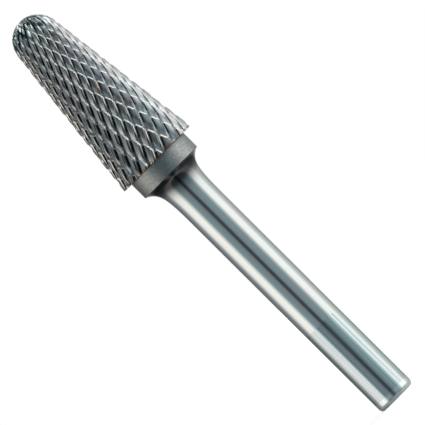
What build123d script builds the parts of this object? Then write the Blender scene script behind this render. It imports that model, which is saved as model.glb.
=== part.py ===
from build123d import *
from math import atan, cos, exp, floor, log, pi, radians, sin, sqrt, tan, tanh
import os

# Carbide burr: a double-cut, ball-nosed cone of tungsten carbide, brazed to a turned steel shank.
# It stands on the flat end of the shank, with +Z up its axis to the nose of the cutting head.
# Lengths are in millimetres. Angles are in radians, unless a name says degrees.

# Shank
SHANK_DIAMETER = 6.0
SHANK_STRAIGHT_LENGTH = 36.5
END_CORNER_LENGTH = 0.7
END_CORNER_WIDTH = 0.33
NECK_LENGTH = 6.95
NECK_START_DEGREES = 66.0  # slope of the neck where it leaves the collar, from the axis
NECK_START_EASE = 0.97  # how far it holds that slope, as a share of the step up to the collar
NECK_END_EASE = 0.735  # how far it runs along the shank's line, as a share of the neck's length
COLLAR_DIAMETER = 10.0
COLLAR_WIDTH = 2.55

# Brazed joint
BRAZE_THICKNESS = 0.1
BRAZE_INSET = 0.06  # the filler stops this far inside the collar's rim

# Cutting head
HEAD_DIAMETER = 12.7
HEAD_LENGTH = 26.4
TAPER_DEGREES = 6.9  # half of the cone's included angle

# Double cut. The main flutes wind to the right, and the cross flutes to the left, where they notch
# the crests between the main flutes into separate teeth. Both are ground to the same depth, which is
# a share of the local radius, so that the teeth keep their form as the head narrows.
FLUTE_DEPTH = 0.092
MAIN_FLUTES = 24
MAIN_HELIX_DEGREES = 27.1  # at the rear face
MAIN_HELIX_EASE = 0.0119  # how fast the main helix straightens towards the nose
MAIN_START_DEGREES = -3.6  # where a crest meets the rear face, round from +X
RAKE_SHARE = 0.22  # share of the main pitch that the steep rake face takes
CROSS_FLUTES = 15
CROSS_HELIX_DEGREES = 23.3
CROSS_START_DEGREES = -11.3  # where a notch meets the rear face, round from +X
NOTCH_WALL_SHARE = 0.08  # share of the cross pitch that a notch's steep wall takes
NOTCH_SHARE = 0.55  # share of the cross pitch that the whole notch takes
FLUTED_LATITUDE_DEGREES = 80.0  # how far up the nose ball the flutes are ground

# Places along the axis
collar_rear = SHANK_STRAIGHT_LENGTH + NECK_LENGTH
collar_front = collar_rear + COLLAR_WIDTH
head_rear = collar_front + BRAZE_THICKNESS
head_tip = head_rear + HEAD_LENGTH

# Steel shank: end corner, straight length, hollow neck and collar, turned from one bar
shank_radius = SHANK_DIAMETER / 2
collar_radius = COLLAR_DIAMETER / 2
neck_slope = radians(NECK_START_DEGREES)
neck_start_ease = NECK_START_EASE * (collar_radius - shank_radius)
neck_end_ease = NECK_END_EASE * NECK_LENGTH

with BuildPart() as shank:
    with BuildSketch(Plane.XZ):
        with BuildLine():
            end_face = Line((0, 0), (shank_radius - END_CORNER_WIDTH, 0))
            side = Line((shank_radius, END_CORNER_LENGTH), (shank_radius, SHANK_STRAIGHT_LENGTH))
            TangentArc(side @ 0, end_face @ 1, tangent=(0, -1))
            collar = Line((collar_radius, collar_rear), (collar_radius, collar_front))
            Bezier(
                side @ 1,
                side @ 1 + Vector(0, neck_end_ease),
                collar @ 0 - neck_start_ease * Vector(sin(neck_slope), cos(neck_slope)),
                collar @ 0,
            )
            Polyline(collar @ 1, (0, collar_front), end_face @ 0)
        make_face()
    revolve(axis=Axis.Z)

# Brazed joint: a thin disc of filler between the collar and the head
with BuildPart() as braze_joint:
    with BuildSketch(Plane.XY.offset(collar_front)):
        Circle(collar_radius - BRAZE_INSET)
    extrude(amount=BRAZE_THICKNESS)

# The head's skin: a cone that runs tangent into a ball. Its flutes are helices, and a helix at a
# steady angle turns by the tangent of that angle times the climb, which is the length climbed along
# the skin with each part of it divided by the radius there.
head_radius = HEAD_DIAMETER / 2
taper = radians(TAPER_DEGREES)
nose_radius = (head_radius - HEAD_LENGTH * tan(taper)) * cos(taper) / (1 - sin(taper))
nose_centre = head_tip - nose_radius


def ball_climb(latitude):
    """The climb up a ball from its equator to a latitude."""
    return log(tan(pi / 4 + latitude / 2))


cone_climb = log(head_radius / (nose_radius * cos(taper))) / sin(taper)
nose_climb = ball_climb(radians(FLUTED_LATITUDE_DEGREES)) - ball_climb(taper)
full_climb = cone_climb + nose_climb

# Places on the skin are counted in crests of the main flutes and notches of the cross flutes. The
# two families turn past each other as they climb, and that crossing gives the climb of a place.
main_pitch = 2 * pi / MAIN_FLUTES
cross_pitch = 2 * pi / CROSS_FLUTES
main_slope = tan(radians(MAIN_HELIX_DEGREES))
crossing_slope = main_slope + tan(radians(CROSS_HELIX_DEGREES))
full_crossing = crossing_slope * full_climb - MAIN_HELIX_EASE * full_climb**2


def crest_angle(crest):
    """The angle round the rear face of a crest, or of a place between crests."""
    return radians(MAIN_START_DEGREES) + crest * main_pitch


def crossing(crest, notch):
    """How far the two families have turned past each other, where this crest meets this notch."""
    return radians(CROSS_START_DEGREES) + notch * cross_pitch - crest_angle(crest)


def head_point(crest, notch, depth):
    """The point at this crest and notch, sunk square to the skin by a share of the radius there."""
    turned_past = crossing(crest, notch)
    root = sqrt(crossing_slope**2 - 4 * MAIN_HELIX_EASE * turned_past)
    climb = (crossing_slope - root) / (2 * MAIN_HELIX_EASE)
    angle = crest_angle(crest) + main_slope * climb - MAIN_HELIX_EASE * climb**2
    if climb < cone_climb:
        tilt = taper
        radius = head_radius * exp(-climb * sin(taper))
        height = head_rear + (head_radius - radius) / tan(taper)
    else:
        tilt = 2 * atan(tanh((climb - cone_climb + ball_climb(taper)) / 2))
        radius = nose_radius * cos(tilt)
        height = nose_centre + nose_radius * sin(tilt)
    across = radius - depth * radius * cos(tilt)
    return Vector(across * cos(angle), across * sin(angle), height - depth * radius * sin(tilt))


# The corners of a tooth: the foot of a notch on its crest, the place where the notch runs out on
# the crest again, and the bottom of the flute beside the crest, under the notch's steep wall.
def notch_foot(crest, notch):
    return head_point(crest, notch, 0)


def notch_end(crest, notch):
    return head_point(crest, notch + NOTCH_SHARE, 0)


def gullet(crest, notch):
    return head_point(crest + RAKE_SHARE, notch + NOTCH_WALL_SHARE, FLUTE_DEPTH)


def facet(*corners):
    """A flat facet that faces outwards, as its corners run anticlockwise."""
    return Face(Wire.make_polygon(corners))


def tooth(crest, notch):
    """The steep wall and gentle floor of a notch, then the rake face above it on its right."""
    foot, end = notch_foot(crest, notch), notch_end(crest, notch)
    left, right = gullet(crest - 1, notch), gullet(crest, notch)
    next_foot, next_right = notch_foot(crest, notch + 1), gullet(crest, notch + 1)
    wall_and_floor = [facet(foot, right, left), facet(left, right, end)]
    return wall_and_floor + [facet(right, next_right, end), facet(end, next_right, next_foot)]


def flank(crest, notch):
    """The flank that rises from this crest's gullet to the next crest."""
    bottom, top = gullet(crest, notch), gullet(crest, notch + 1)
    end, next_foot = notch_end(crest + 1, notch), notch_foot(crest + 1, notch + 1)
    return [facet(bottom, end, top), facet(top, end, next_foot)]


def first_notch(crest):
    """The last notch that starts below the rear face."""
    return floor(-crossing(crest, 0) / cross_pitch)


def last_notch(crest):
    """The last notch that starts before the end of the flutes."""
    return floor((full_crossing - crossing(crest, 0)) / cross_pitch)


# Cutting head: the facets of every tooth, closed at both ends, then faced off square. Where the next
# crest starts or ends a notch higher, one facet fills the step.
tip = Vector(0, 0, head_tip)
base = Vector(0, 0, head_rear - head_radius)
skin = []
for crest in range(MAIN_FLUTES):
    first, last = first_notch(crest), last_notch(crest)
    next_first, next_last = first_notch(crest + 1), last_notch(crest + 1)
    for notch in range(first, last):
        skin += tooth(crest, notch)
    for notch in range(next_first, last):
        skin += flank(crest, notch)
    first_foot, first_gullet = notch_foot(crest, first), gullet(crest, first)
    last_foot, last_gullet = notch_foot(crest, last), gullet(crest, last)
    next_first_foot = notch_foot(crest + 1, next_first)
    next_last_foot = notch_foot(crest + 1, next_last)
    if next_first > first:
        skin.append(facet(first_gullet, next_first_foot, gullet(crest, next_first)))
    if next_last > last:
        skin.append(facet(last_gullet, notch_end(crest + 1, last), next_last_foot))
    skin += [facet(first_gullet, first_foot, base), facet(next_first_foot, first_gullet, base)]
    skin += [facet(last_foot, last_gullet, tip), facet(last_gullet, next_last_foot, tip)]

with BuildPart() as cutter_head:
    add(Solid(Shell(skin)))
    split(bisect_by=Plane.XY.offset(head_rear), keep=Keep.TOP)

os.makedirs("parts", exist_ok=True)
shank.part.label = "shank"
export_step(shank.part, "parts/shank.step")
braze_joint.part.label = "braze_joint"
export_step(braze_joint.part, "parts/braze_joint.step")
cutter_head.part.label = "cutter_head"
export_step(cutter_head.part, "parts/cutter_head.step")
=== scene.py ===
import math

import bmesh
import bpy
import numpy as np
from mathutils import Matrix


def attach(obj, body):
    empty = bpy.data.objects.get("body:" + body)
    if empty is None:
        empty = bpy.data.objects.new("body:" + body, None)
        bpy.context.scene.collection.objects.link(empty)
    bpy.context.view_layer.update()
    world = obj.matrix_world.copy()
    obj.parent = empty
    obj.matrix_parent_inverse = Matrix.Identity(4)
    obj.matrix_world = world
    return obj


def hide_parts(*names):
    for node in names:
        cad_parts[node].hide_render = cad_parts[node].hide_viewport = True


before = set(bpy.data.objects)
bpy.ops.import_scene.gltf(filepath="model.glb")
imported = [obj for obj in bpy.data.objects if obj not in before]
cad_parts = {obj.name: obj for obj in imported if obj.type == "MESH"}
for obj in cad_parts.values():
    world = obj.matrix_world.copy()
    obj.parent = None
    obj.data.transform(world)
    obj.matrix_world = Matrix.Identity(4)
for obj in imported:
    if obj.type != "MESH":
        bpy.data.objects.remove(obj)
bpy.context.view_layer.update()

# ---- Steel shank ---------------------------------------------------------------------------------
# One bar of steel, turned with a collar and a hollow neck at the front, then polished. The
# part that the collet holds is ground lengthwise to size, and the end has a rounded corner.

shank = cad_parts["shank"]
CLAMPED_LENGTH = 0.01451  # the ground part, from the end
END_BAND_LENGTH = 0.0013  # the paler band beside the end corner
FLARE_START = 0.0411  # where painted shade begins on the neck, darkening towards the collar
FLARE_END = 0.0424
COLLAR_REAR = 0.04345
POLISHED_STEEL = (0.50, 0.53, 0.53)
CLOUDED_STEEL = (0.52, 0.51, 0.50)
GROUND_STEEL = (0.43, 0.46, 0.48)
PALE_GROUND_STEEL = (0.50, 0.58, 0.60)
GRINDING_LINE = (0.27, 0.34, 0.31)
NECK_PAINTED_SHADE = (0.13, 0.14, 0.15)
SATIN_COLLAR = (0.25, 0.26, 0.26)
PALE_END_AND_CORNER_LIGHT = (0.70, 0.73, 0.73)


class Wire:
    """A node's output in a shader. + - * / add Math nodes to its tree, and its methods add others."""

    def __init__(self, tree, socket=None):
        self.tree = tree
        self.socket = socket

    def node(self, kind, settings=None, inputs=None, output=0):
        """Adds any node, sets its settings and then its inputs, and gives one of its outputs. An
        input or output goes by its name, or by its number where names repeat."""
        made = self.tree.nodes.new(kind)
        for name, value in (settings or {}).items():
            if name == "stops":
                ramp = made.color_ramp
                while len(ramp.elements) < len(value):
                    ramp.elements.new(0.5)
                for element, (place, colour) in zip(ramp.elements, value):
                    element.position = place
                    element.color = colour
            else:
                setattr(made, name, value)
        for name, value in (inputs or {}).items():
            if isinstance(value, Wire):
                self.tree.links.new(value.socket, made.inputs[name])
            else:
                made.inputs[name].default_value = value
        return Wire(self.tree, made.outputs[output])

    def maths(self, operation, *values):
        """A Math node on these values."""
        return self.node("ShaderNodeMath", {"operation": operation}, dict(enumerate(values)))

    def __add__(self, other):
        return self.maths("ADD", self, other)

    def __sub__(self, other):
        return self.maths("SUBTRACT", self, other)

    def __rsub__(self, other):
        return self.maths("SUBTRACT", other, self)

    def __mul__(self, other):
        return self.maths("MULTIPLY", self, other)

    def __truediv__(self, other):
        return self.maths("DIVIDE", self, other)

    def __rtruediv__(self, other):
        return self.maths("DIVIDE", other, self)

    __radd__ = __add__
    __rmul__ = __mul__

    def between(self, low, high):
        """0 below low, 1 above high, and a smooth rise from one to the other."""
        return self.node(
            "ShaderNodeMapRange",
            {"interpolation_type": "SMOOTHSTEP"},
            {"Value": self, "From Min": low, "From Max": high},
        )

    def part(self, axis):
        """The x, y or z of a vector."""
        return self.node("ShaderNodeSeparateXYZ", None, {"Vector": self}, axis)

    def stretched(self, x, y, z):
        """A vector with each of its parts multiplied."""
        settings = {"operation": "MULTIPLY"}
        return self.node("ShaderNodeVectorMath", settings, {0: self, 1: (x, y, z)})

    def noise(self, scale, detail=2.0, roughness=0.5):
        """Cloudy noise at this place, about 0.5 on average."""
        inputs = {"Vector": self, "Scale": scale, "Detail": detail, "Roughness": roughness}
        return self.node("ShaderNodeTexNoise", None, inputs)

    def tint(self, other, amount):
        """This colour turned towards another, which may be plain R, G and B, by a share of 0 to 1."""
        if isinstance(other, tuple):
            other = (*other, 1.0)
        colour_a, colour_b, mixed_colour = 6, 7, 2  # the sockets of the Mix node for colours
        inputs = {"Factor": amount, colour_a: self, colour_b: other}
        return self.node("ShaderNodeMix", {"data_type": "RGBA"}, inputs, mixed_colour)

    def bump(self, height, strength=1.0, distance=0.00001):
        """A surface direction that rises and falls with the height, over this distance."""
        inputs = {"Height": height, "Strength": strength, "Distance": distance}
        return self.node("ShaderNodeBump", None, inputs)


def start_material(name):
    """A new material, the start of its shader maths, and its Principled shader."""
    material = bpy.data.materials.new(name)
    material.use_nodes = True
    shader = material.node_tree.nodes["Principled BSDF"]
    return material, Wire(material.node_tree), shader


def finish_shader(shader, **sockets):
    """Sets or links the Principled shader's sockets. An underscore stands for a space."""
    for name, value in sockets.items():
        socket = shader.inputs[name.replace("_", " ")]
        if isinstance(value, Wire):
            value.tree.links.new(value.socket, socket)
        else:
            socket.default_value = value


def solid_colour(start, colour):
    """A plain colour to start a mix from."""
    node = start.node("ShaderNodeRGB")
    node.socket.default_value = (*colour, 1.0)
    return node


turned_steel, start, shader = start_material("turned_steel")
place = start.node("ShaderNodeTexCoord", output="Object")
height = place.part("Z")

# Where each finish begins and ends along the bar, and where painted shade darkens the neck and
# painted light keeps the end's corner pale
clamped = 1 - height.between(CLAMPED_LENGTH - 0.00004, CLAMPED_LENGTH + 0.00004)
on_collar = height.between(COLLAR_REAR - 0.00012, COLLAR_REAR + 0.00002)
painted_neck_shade = height.between(FLARE_START, FLARE_END) * (1 - on_collar)
end_band = 1 - height.between(END_BAND_LENGTH - 0.0001, END_BAND_LENGTH + 0.0001)
# Painted light: the rounded corner at the end is kept pale and less metallic, whatever it mirrors
painted_corner_light = 1 - height.between(END_BAND_LENGTH * 0.25, END_BAND_LENGTH * 0.6)

draw_lines = place.stretched(1, 1, 0.006).noise(5200, 3, 0.65)  # fine lines along the ground part
broad_lines = place.stretched(1, 1, 0.002).noise(900, 2, 0.5)  # broader ones among them
turning_marks = place.stretched(0.05, 0.05, 1).noise(9000, 2, 0.6)  # fine rings round the collar
grain = place.noise(11000, 2, 0.7)
specks = place.noise(4200, 3, 0.7)
cloud = place.stretched(1, 1, 0.4).noise(420, 3, 0.55)

ground_steel = solid_colour(start, GROUND_STEEL)
ground_steel = ground_steel.tint(PALE_GROUND_STEEL, broad_lines.between(0.40, 0.58))
ground_steel = ground_steel.tint(GRINDING_LINE, draw_lines.between(0.48, 0.60) * 0.8)
speckled_collar = on_collar * (0.55 + specks.between(0.35, 0.65) * 0.45)
steel_colour = solid_colour(start, POLISHED_STEEL)
steel_colour = steel_colour.tint(CLOUDED_STEEL, cloud.between(0.4, 0.75) * 0.5)
steel_colour = steel_colour.tint(ground_steel, clamped)
# Painted shade on the neck, darker towards the collar
steel_colour = steel_colour.tint(NECK_PAINTED_SHADE, painted_neck_shade * 0.8)
steel_colour = steel_colour.tint(SATIN_COLLAR, speckled_collar)
steel_colour = steel_colour.tint(PALE_END_AND_CORNER_LIGHT, end_band * 0.5 + painted_corner_light * 0.4)

roughness = 0.10 + cloud * 0.06
roughness = roughness + clamped * (0.01 + draw_lines.between(0.35, 0.7) * 0.07)
roughness = roughness + on_collar * (0.26 + grain * 0.12)
relief = draw_lines * clamped * 0.5 + on_collar * (turning_marks * 1.5 + specks * 3.0)
finish_shader(
    shader,
    Base_Color=steel_colour,
    Metallic=1 - painted_corner_light * 0.85,  # the corner stays pale, whatever it mirrors
    Roughness=roughness,
    Normal=start.bump(relief, 0.5, 0.000006),
)
shank.data.materials.clear()
shank.data.materials.append(turned_steel)

# ---- Brazed joint --------------------------------------------------------------------------------
# A film of brassy filler that was melted between the collar and the carbide head. It is dull, with
# dark stains.

braze_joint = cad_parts["braze_joint"]
BRASSY_FILLER = (0.30, 0.24, 0.15)
DARK_STAIN = (0.06, 0.045, 0.035)
braze_metal, start, shader = start_material("braze_metal")
place = start.node("ShaderNodeTexCoord", output="Object")
stains = place.noise(2600, 3, 0.6)
braze_colour = solid_colour(start, BRASSY_FILLER).tint(DARK_STAIN, stains.between(0.4, 0.6))
finish_shader(
    shader,
    Base_Color=braze_colour,
    Metallic=0.8,
    Roughness=0.35 + stains * 0.4,
    Normal=start.bump(stains, 0.6, 0.00002),
)
braze_joint.data.materials.clear()
braze_joint.data.materials.append(braze_metal)

# ---- Carbide cutter head -------------------------------------------------------------------------
# Sintered tungsten carbide, a cone that runs into a ball. Diamond wheels grind 24 right-hand main
# flutes and then 15 left-hand cross flutes, which notch each crest into separate sharp teeth.

HEAD_REAR = 0.0461
HEAD_TIP = 0.0725
HEAD_RADIUS = 0.00635
TAPER = math.radians(6.9)
FLUTED_LATITUDE = math.radians(80)  # how far up the ball the flutes run
MAIN_FLUTES = 24
CROSS_FLUTES = 15
MAIN_PITCH = 2 * math.pi / MAIN_FLUTES
CROSS_PITCH = 2 * math.pi / CROSS_FLUTES
MAIN_SLOPE = math.tan(math.radians(27.1))
MAIN_EASE = 0.0119  # how fast the main helix straightens towards the nose
CROSSING_SLOPE = MAIN_SLOPE + math.tan(math.radians(23.3))
MAIN_START = math.radians(-3.6)
CROSS_START = math.radians(-11.3)

# Depths are shares of the local radius, and places across a flute are shares of its pitch
MAIN_DEPTH = 0.092
CREST_TOP = -0.12
LAND_SLOPE = 0.30  # of the worn land beside the crest
LAND_CURVE = 2.2
LAND_END = 0.15  # where the worn land turns down into the rake face
GULLET_SHARE = 0.24  # where the flute is deepest
GULLET_WIDTH = 0.20  # how far the hollow reaches from there towards the next crest
FLANK_SLOPE = math.tan(math.radians(17))

# Places up a notch are shares of the cross pitch
CROSS_DEPTH = 0.050
WALL_START = 0.04
WALL_FOOT = 0.23
NOTCH_SHARE = 0.58

# The teeth are cut deeper on the ball, between these shares of the way up the head
NOSE_DEEPENING = 2.2
DEEPENING_START = 0.72
DEEPENING_FULL = 0.92

NOSE_RADIUS = (
    (HEAD_RADIUS - (HEAD_TIP - HEAD_REAR) * math.tan(TAPER)) * math.cos(TAPER) / (1 - math.sin(TAPER))
)


def ball_climb(latitude):
    """The climb up a ball from its equator: the log of the tangent of 45 degrees plus half of it."""
    return math.log(math.tan(math.pi / 4 + latitude / 2))


CONE_CLIMB = math.log(HEAD_RADIUS / (NOSE_RADIUS * math.cos(TAPER))) / math.sin(TAPER)
FULL_CLIMB = CONE_CLIMB + ball_climb(FLUTED_LATITUDE) - ball_climb(TAPER)


def flute_depth(share):
    """Depth across one main flute, from the top of its crest to the top of the next. The worn land
    falls by a slope and a cube, the rake face is a quarter of an ellipse down to the gullet, the
    hollow is a quarter of a wider one up from it, and the flank is straight."""
    past_top = share - CREST_TOP
    land = MAIN_PITCH * (LAND_SLOPE * past_top + LAND_CURVE * past_top**3)
    down_rake = np.clip((share - LAND_END) / (GULLET_SHARE - LAND_END), 0, 1)
    rake = MAIN_DEPTH * np.sqrt(1 - (1 - down_rake) ** 2)
    hollow = MAIN_DEPTH * np.sqrt(np.clip(1 - ((share - GULLET_SHARE) / GULLET_WIDTH) ** 2, 0, 1))
    flank = FLANK_SLOPE * MAIN_PITCH * (1 - past_top)
    return np.where(share < GULLET_SHARE, np.maximum(land, rake), np.maximum(hollow, flank))


def floor_depth(share):
    """Depth of a notch's floor, which rises straight from the foot of its wall until it runs out."""
    return CROSS_DEPTH * np.clip((NOTCH_SHARE - share) / (NOTCH_SHARE - WALL_FOOT), 0, 1)


def tooth_depth(flute, share):
    """Depth of the teeth: the flute's depth, plus the notch's times the share of the full flute depth
    that is left below it. The notch's wall goes down by a square, which leaves its edge rounded."""
    down_wall = np.clip((share - WALL_START) / (WALL_FOOT - WALL_START), 0, 1)
    return flute + floor_depth(share) * down_wall**2 * (1 - flute / MAIN_DEPTH)


def head_points(crest, notch, depth):
    """Places on the head. The climb is where the crest and the notch cross, the root of a square
    equation; the angle follows the crest's helix for that climb; cone and ball give the radius."""
    turned_past = CROSS_START + notch * CROSS_PITCH - MAIN_START - crest * MAIN_PITCH
    root = np.sqrt(np.clip(CROSSING_SLOPE**2 - 4 * MAIN_EASE * turned_past, 0, None))
    climb = (CROSSING_SLOPE - root) / (2 * MAIN_EASE)
    angle = MAIN_START + crest * MAIN_PITCH + MAIN_SLOPE * climb - MAIN_EASE * climb**2
    on_cone = climb < CONE_CLIMB
    ball = 2 * np.arctan(np.tanh((climb - CONE_CLIMB + ball_climb(TAPER)) / 2))
    tilt = np.where(on_cone, TAPER, ball)
    cone_radius = HEAD_RADIUS * np.exp(-climb * math.sin(TAPER))
    radius = np.where(on_cone, cone_radius, NOSE_RADIUS * np.cos(ball))
    cone_height = HEAD_REAR + (HEAD_RADIUS - cone_radius) / math.tan(TAPER)
    height = np.where(on_cone, cone_height, HEAD_TIP - NOSE_RADIUS + NOSE_RADIUS * np.sin(ball))
    out = radius - depth * radius * np.cos(tilt)
    up = np.maximum(height - depth * radius * np.sin(tilt), HEAD_REAR)
    return np.stack([out * np.cos(angle), out * np.sin(angle), up], axis=-1)


def crossing_notch(crest, climb):
    """The notch number that this crest has reached after this climb."""
    turned_past = CROSSING_SLOPE * climb - MAIN_EASE * climb**2
    return (turned_past - CROSS_START + MAIN_START + crest * MAIN_PITCH) / CROSS_PITCH


# Columns run across each flute, closer together where it curves. Those of the rake face and the
# hollow are at even angles round their ellipses.
land_columns = np.linspace(CREST_TOP, LAND_END + 0.005, 7)
rake_turns = np.linspace(0.55, math.pi / 2, 5)
rake_columns = LAND_END + (GULLET_SHARE - LAND_END) * (1 - np.cos(rake_turns))
hollow_turns = np.linspace(0, 1.05, 5)[1:]
hollow_columns = GULLET_SHARE + GULLET_WIDTH * np.sin(hollow_turns)
flank_columns = np.linspace(hollow_columns[-1], 1 + CREST_TOP, 5)[1:-1]
columns = np.concatenate([land_columns, rake_columns, hollow_columns, flank_columns])
crest_share = np.tile(columns, MAIN_FLUTES)
crest_number = np.repeat(np.arange(MAIN_FLUTES), len(columns)) + crest_share
crest_number = np.append(crest_number, MAIN_FLUTES + CREST_TOP)
crest_share = np.append(crest_share, CREST_TOP)

# Rows run up each notch: its wall, its floor, and the full teeth above it
wall_rows = np.linspace(WALL_START, WALL_FOOT, 6)[:-1]
floor_rows = np.linspace(WALL_FOOT, NOTCH_SHARE, 4)[:-1]
one_notch = np.concatenate([wall_rows, floor_rows, [NOTCH_SHARE, (NOTCH_SHARE + 1) / 2]])
pitches = CROSS_FLUTES + math.ceil(crossing_notch(0, FULL_CLIMB)) + 1
all_rows = np.add.outer(np.arange(pitches), one_notch).ravel()
crests, notch_number = np.meshgrid(crest_number, all_rows, indexing="ij")
lowest = crossing_notch(crests, 0)
highest = crossing_notch(crests, FULL_CLIMB)
notch_number = np.clip(notch_number, lowest, highest)
way_up_notch = (notch_number - WALL_START) % 1 + WALL_START
depth = tooth_depth(flute_depth(crest_share)[:, None], way_up_notch)
way_up_head = (notch_number - lowest) / (highest - lowest)
up_nose = np.clip((way_up_head - DEEPENING_START) / (DEEPENING_FULL - DEEPENING_START), 0, 1)
depth = depth * (1 + NOSE_DEEPENING * up_nose)
points = head_points(crests, notch_number, depth)

column_count, row_count = notch_number.shape
index = np.arange(column_count * row_count).reshape(column_count, row_count)
quads = np.stack([index[:-1, :-1], index[1:, :-1], index[1:, 1:], index[:-1, 1:]], axis=-1)
quads = quads.reshape(-1, 4)
vertices = points.reshape(-1, 3)
flute_uv = np.stack([crests.ravel(), notch_number.ravel()], axis=-1)  # crest and notch numbers

# The rear face and the small cap at the nose close the ends, as fans round the axis
rear_rim = index[:, 0]
nose_rim = index[:, -1]
rear_centre = len(vertices)
nose_centre = len(vertices) + 1
vertices = np.concatenate([vertices, [[0, 0, HEAD_REAR], [0, 0, HEAD_TIP]]])
flute_uv = np.concatenate([flute_uv, [[0, 0], [0, 2 * CROSS_FLUTES]]])
rear_fan = np.stack([rear_rim[1:], rear_rim[:-1], np.full(column_count - 1, rear_centre)], axis=-1)
nose_fan = np.stack([nose_rim[:-1], nose_rim[1:], np.full(column_count - 1, nose_centre)], axis=-1)

head_mesh = bpy.data.meshes.new("double_cut_head")
faces = quads.tolist() + rear_fan.tolist() + nose_fan.tolist()
head_mesh.from_pydata(vertices.tolist(), [], faces)
corner_vertices = np.zeros(len(head_mesh.loops), dtype=np.int32)
head_mesh.loops.foreach_get("vertex_index", corner_vertices)
uv_map = head_mesh.uv_layers.new(name="flutes")
uv_map.data.foreach_set("uv", flute_uv[corner_vertices].astype(np.float32).ravel())
# The first and last columns meet, and so do the rows that were clipped to the two ends
WELD_DISTANCE = 2e-7
SHARP_ANGLE = math.radians(20)
welded = bmesh.new()
welded.from_mesh(head_mesh)
bmesh.ops.remove_doubles(welded, verts=welded.verts, dist=WELD_DISTANCE)
welded.to_mesh(head_mesh)
welded.free()
head_mesh.polygons.foreach_set("use_smooth", np.ones(len(head_mesh.polygons), dtype=bool))
head_mesh.set_sharp_from_angle(angle=SHARP_ANGLE)
head_mesh.update()
carbide_head = bpy.data.objects.new("carbide_head", head_mesh)
bpy.context.scene.collection.objects.link(carbide_head)

CARBIDE = (0.33, 0.365, 0.38)
CLOUDED_CARBIDE = (0.35, 0.35, 0.37)
FACET_PAINTED_HIGHLIGHT = (0.66, 0.66, 0.64)
LAND_PAINTED_SHADE = (0.10, 0.105, 0.115)
SLOT_SHADE = (0.02, 0.025, 0.035)
CREST_PAINTED_HIGHLIGHT = (0.57, 0.55, 0.52)
EDGE_PAINTED_HIGHLIGHT = (0.60, 0.59, 0.57)
NOSE_FACET_HIGHLIGHT = (0.56, 0.64, 0.64)
NOSE_GAP_SHADE = (0.03, 0.06, 0.07)
RIM_STAIN = (0.30, 0.13, 0.05)
MARKS = [  # colour, centre, size and strength
    ((0.10, 0.075, 0.06), (0.00228, -0.00292, 0.0679), 0.0007, 0.9),  # a dark brown spot by the nose
    ((0.36, 0.20, 0.09), (0.0009, -0.0048, 0.0582), 0.0009, 0.65),  # an orange stain
    ((0.27, 0.20, 0.17), (0.0027, -0.00456, 0.0548), 0.0018, 0.35),  # a faint brown patch
]
NOSE_FACETS = (0.0692, 0.0704)  # the heights between which the nose's own facets set in
NOSE_CAP = (0.0717, 0.0720)

ground_carbide, start, shader = start_material("ground_carbide")
place = start.node("ShaderNodeTexCoord", output="Object")
height = place.part("Z")
flutes = start.node("ShaderNodeUVMap", {"uv_map": "flutes"})
across_flute = start.maths("FRACT", flutes.part("X") - CREST_TOP) + CREST_TOP
up_notch = start.maths("FRACT", flutes.part("Y") - WALL_START) + WALL_START

# Tones on a tooth: the worn crest and the worn edge of a notch, with painted highlights; painted
# shade in the slot of the gullet and on the land on the crest's left; and a painted highlight on the
# facet the notch cuts in the flank
worn_and_highlit_crest = across_flute.between(0.02, 0.06) * (1 - across_flute.between(0.13, 0.16))
worn_and_highlit_edge = 1 - up_notch.between(0.10, 0.16)
painted_slot_shade = across_flute.between(0.12, 0.15) * (1 - across_flute.between(0.22, 0.29))
painted_slot_shade = painted_slot_shade * up_notch.between(0.40, 0.56)
painted_land_shade = across_flute.between(-0.11, -0.07) * (1 - across_flute.between(0.02, 0.06))
painted_land_shade = painted_land_shade * up_notch.between(0.38, 0.52)
painted_facet_highlight = across_flute.between(0.36, 0.42) * (1 - (across_flute * 0.6 + up_notch).between(0.78, 0.84))
painted_facet_highlight = painted_facet_highlight * up_notch.between(0.06, 0.12)

# On the nose the cuts run together, into larger facets that are two teeth wide and high; the facets
# carry painted highlights and the gaps between them painted shade
on_nose = height.between(*NOSE_FACETS)
across_pair = start.maths("FRACT", flutes.part("X") / 2)
up_pair = start.maths("FRACT", flutes.part("Y") / 2)
painted_nose_light = across_pair.between(0.22, 0.32) * up_pair.between(0.22, 0.34)
painted_nose_light = start.maths("MAXIMUM", painted_nose_light, height.between(*NOSE_CAP) * 0.6)

wheel_lines = flutes.stretched(60, 0.7, 1).noise(1.0, 3, 0.6)  # the diamond wheel's lines
cloud = place.noise(260, 3, 0.6)
grain = place.noise(9000, 2, 0.7)
carbide_colour = solid_colour(start, CARBIDE)
carbide_colour = carbide_colour.tint(CLOUDED_CARBIDE, cloud.between(0.42, 0.6))
carbide_colour = carbide_colour.tint(FACET_PAINTED_HIGHLIGHT, painted_facet_highlight * 0.6)
carbide_colour = carbide_colour.tint(LAND_PAINTED_SHADE, painted_land_shade)
carbide_colour = carbide_colour.tint(SLOT_SHADE, painted_slot_shade)
carbide_colour = carbide_colour.tint(CREST_PAINTED_HIGHLIGHT, worn_and_highlit_crest)
carbide_colour = carbide_colour.tint(EDGE_PAINTED_HIGHLIGHT, worn_and_highlit_edge * 0.6)
carbide_colour = carbide_colour.tint(NOSE_FACET_HIGHLIGHT, on_nose * painted_nose_light)
carbide_colour = carbide_colour.tint(NOSE_GAP_SHADE, on_nose * (1 - painted_nose_light) * 0.85)

ragged = place.noise(2500, 2, 0.6) * 0.9
for colour, centre, size, strength in MARKS:
    ends = {0: place, 1: centre}
    distance = start.node("ShaderNodeVectorMath", {"operation": "DISTANCE"}, ends, "Value")
    mark = 1 - (distance / size + ragged).between(0.75, 1.25)
    carbide_colour = carbide_colour.tint(colour, mark * strength)

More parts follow.
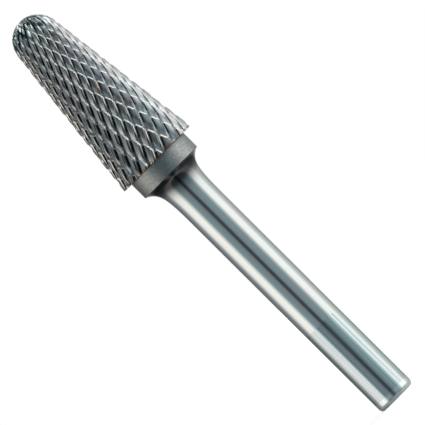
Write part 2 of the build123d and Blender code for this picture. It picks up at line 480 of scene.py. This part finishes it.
rim_patches = place.noise(2600, 3, 0.7).between(0.46, 0.56)
rim_stain = (1 - height.between(HEAD_REAR + 0.0001, HEAD_REAR + 0.00045)) * rim_patches
carbide_colour = carbide_colour.tint(RIM_STAIN, rim_stain)
worn = start.maths("MAXIMUM", worn_and_highlit_crest, worn_and_highlit_edge * 0.8)
roughness = 0.30 + wheel_lines * 0.08 + grain * 0.03 + rim_stain * 0.3 - worn * 0.16
relief = wheel_lines + grain * 0.3
finish_shader(
    shader,
    Base_Color=carbide_colour,
    Metallic=1.0,
    Roughness=roughness,
    Normal=start.bump(relief, 0.1, 0.00001),
)
head_mesh.materials.append(ground_carbide)
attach(carbide_head, "root")
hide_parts("cutter_head")

# ---- Floor ---------------------------------------------------------------------------------------
# A plain white sheet that the burr stands on, which is stage and no part of it. The camera sees it
# as white, less the burr's soft shadow.

FLOOR_HALF = 1.5
WHITE_SHEET = (0.85, 0.85, 0.85)
SHEET_GLOW = (0.6, 0.6, 0.6)  # added for the camera alone
floor_mesh = bpy.data.meshes.new("floor_sheet")
floor_corners = [
    (-FLOOR_HALF, -FLOOR_HALF, 0),
    (FLOOR_HALF, -FLOOR_HALF, 0),
    (FLOOR_HALF, FLOOR_HALF, 0),
    (-FLOOR_HALF, FLOOR_HALF, 0),
]
floor_mesh.from_pydata(floor_corners, [], [(0, 1, 2, 3)])
floor = bpy.data.objects.new("floor_sheet", floor_mesh)
bpy.context.scene.collection.objects.link(floor)
white_sheet, start, shader = start_material("white_sheet")
camera_ray = start.node("ShaderNodeLightPath", output="Is Camera Ray")
finish_shader(
    shader,
    Base_Color=(*WHITE_SHEET, 1),
    Roughness=0.9,
    Emission_Color=solid_colour(start, (0, 0, 0)).tint(SHEET_GLOW, camera_ray),
    Emission_Strength=1.0,
)
floor_mesh.materials.append(white_sheet)
floor.visible_glossy = False  # so that the metal mirrors the studio below it too

# ---- Studio --------------------------------------------------------------------------------------
# Two tall soft boxes stand left and right of the camera, with grey card between and behind them.
# Their light falls off below the level of the burr and, on the left, above it as well. The camera
# sees a white backdrop, of which the metal mirrors only a band behind the burr.

STUDIO_STRENGTH = 2.4
STUDIO_STOPS = [  # degrees round the burr, with 0 towards the camera, and the light from there
    (-180, (0.45, 0.45, 0.45)),
    (-164, (0.15, 0.15, 0.15)),
    (-156, (0.07, 0.07, 0.07)),
    (-128, (0.16, 0.17, 0.18)),
    (-112, (0.25, 0.27, 0.26)),
    (-104, (0.46, 0.47, 0.45)),
    (-90, (0.93, 0.89, 0.82)),
    (-62, (1.0, 0.96, 0.92)),
    (-52, (0.62, 0.66, 0.65)),
    (-42, (0.22, 0.28, 0.29)),
    (-13, (0.17, 0.21, 0.23)),
    (-6, (0.045, 0.05, 0.062)),
    (5, (0.045, 0.05, 0.062)),
    (14, (0.18, 0.24, 0.26)),
    (44, (0.22, 0.28, 0.30)),
    (54, (0.48, 0.54, 0.55)),
    (64, (0.97, 0.96, 0.94)),
    (92, (1.0, 0.97, 0.92)),
    (106, (0.60, 0.62, 0.59)),
    (128, (0.38, 0.40, 0.39)),
    (156, (0.20, 0.20, 0.20)),
    (164, (0.56, 0.56, 0.56)),
    (180, (0.56, 0.56, 0.56)),
]
HEIGHT_STOPS = [  # degrees above the level of the burr, and the share of the light left and right
    (-90, 0.22, 0.22),
    (-70, 0.13, 0.13),
    (-50, 0.13, 0.13),
    (-40, 0.11, 0.11),
    (-28, 0.21, 0.21),
    (-16, 0.39, 0.39),
    (-7, 0.68, 0.68),
    (0, 0.75, 0.75),
    (5, 0.71, 0.78),
    (13, 0.35, 1.0),
    (30, 0.22, 1.0),
    (50, 0.20, 0.95),
    (70, 0.20, 0.65),
    (90, 0.20, 0.40),
]
LEFT_TO_RIGHT = (-0.3, 0.3)  # where the left's light gives way to the right's, as a direction's x
BACKDROP_EDGE = (math.radians(156), math.radians(164))  # where the band sets in, round the burr
BACKDROP_LEVEL = (0.04, 0.16)  # where it fades above and below the burr, as a direction's z
studio = bpy.data.worlds.new("soft_studio")
studio.use_nodes = True
bpy.context.scene.world = studio
start = Wire(studio.node_tree)
direction = start.node("ShaderNodeTexCoord", output="Generated")
round_turn = start.maths("ARCTAN2", direction.part("X"), 0 - direction.part("Y"))
turn = round_turn / (2 * math.pi) + 0.5
stops = [(degrees / 360 + 0.5, (*colour, 1)) for degrees, colour in STUDIO_STOPS]
cards = start.node("ShaderNodeValToRGB", {"stops": stops}, {"Fac": turn})
behind = start.maths("ABSOLUTE", round_turn).between(*BACKDROP_EDGE)
camera_ray = start.node("ShaderNodeLightPath", output="Is Camera Ray")
glossy_ray = start.node("ShaderNodeLightPath", output="Is Glossy Ray")
through_ray = start.node("ShaderNodeLightPath", output="Is Transmission Ray")
level = 1 - start.maths("ABSOLUTE", direction.part("Z")).between(*BACKDROP_LEVEL)
shows_white = start.maths("MAXIMUM", camera_ray, (glossy_ray + through_ray) * behind * level)
upright = direction.part("Z") / 2 + 0.5
left_stops = []
right_stops = []
for degrees, left_light, right_light in HEIGHT_STOPS:
    place_up = math.sin(math.radians(degrees)) / 2 + 0.5
    left_stops.append((place_up, (left_light, left_light, left_light, 1)))
    right_stops.append((place_up, (right_light, right_light, right_light, 1)))
on_left = start.node("ShaderNodeValToRGB", {"stops": left_stops}, {"Fac": upright})
on_right = start.node("ShaderNodeValToRGB", {"stops": right_stops}, {"Fac": upright})
falling_off = on_left.tint(on_right, direction.part("X").between(*LEFT_TO_RIGHT))
lit = cards.node(
    "ShaderNodeVectorMath",
    {"operation": "SCALE"},
    {0: cards, "Scale": falling_off.part("X") * STUDIO_STRENGTH},
)
studio_colour = lit.tint((1.0, 1.0, 1.0), shows_white)
background = studio.node_tree.nodes["Background"]
studio.node_tree.links.new(studio_colour.socket, background.inputs["Color"])
background.inputs["Strength"].default_value = 1.0

# ---- Camera --------------------------------------------------------------------------------------
# It stands level with the middle of the burr, far off with a long lens, and is rolled so that the
# burr leans to the left.

CAMERA_PLACE = (0.000097, -1.2, 0.03561)
CAMERA_ROLL = math.radians(45.15)
camera_data = bpy.data.cameras.new("camera")
camera = bpy.data.objects.new("camera", camera_data)
bpy.context.scene.collection.objects.link(camera)
camera_data.sensor_width = 36.0
camera_data.lens = 747.0
camera.location = CAMERA_PLACE
camera.rotation_euler = (math.radians(90), CAMERA_ROLL, 0)
bpy.context.scene.camera = camera
bpy.context.scene.view_settings.view_transform = "Standard"
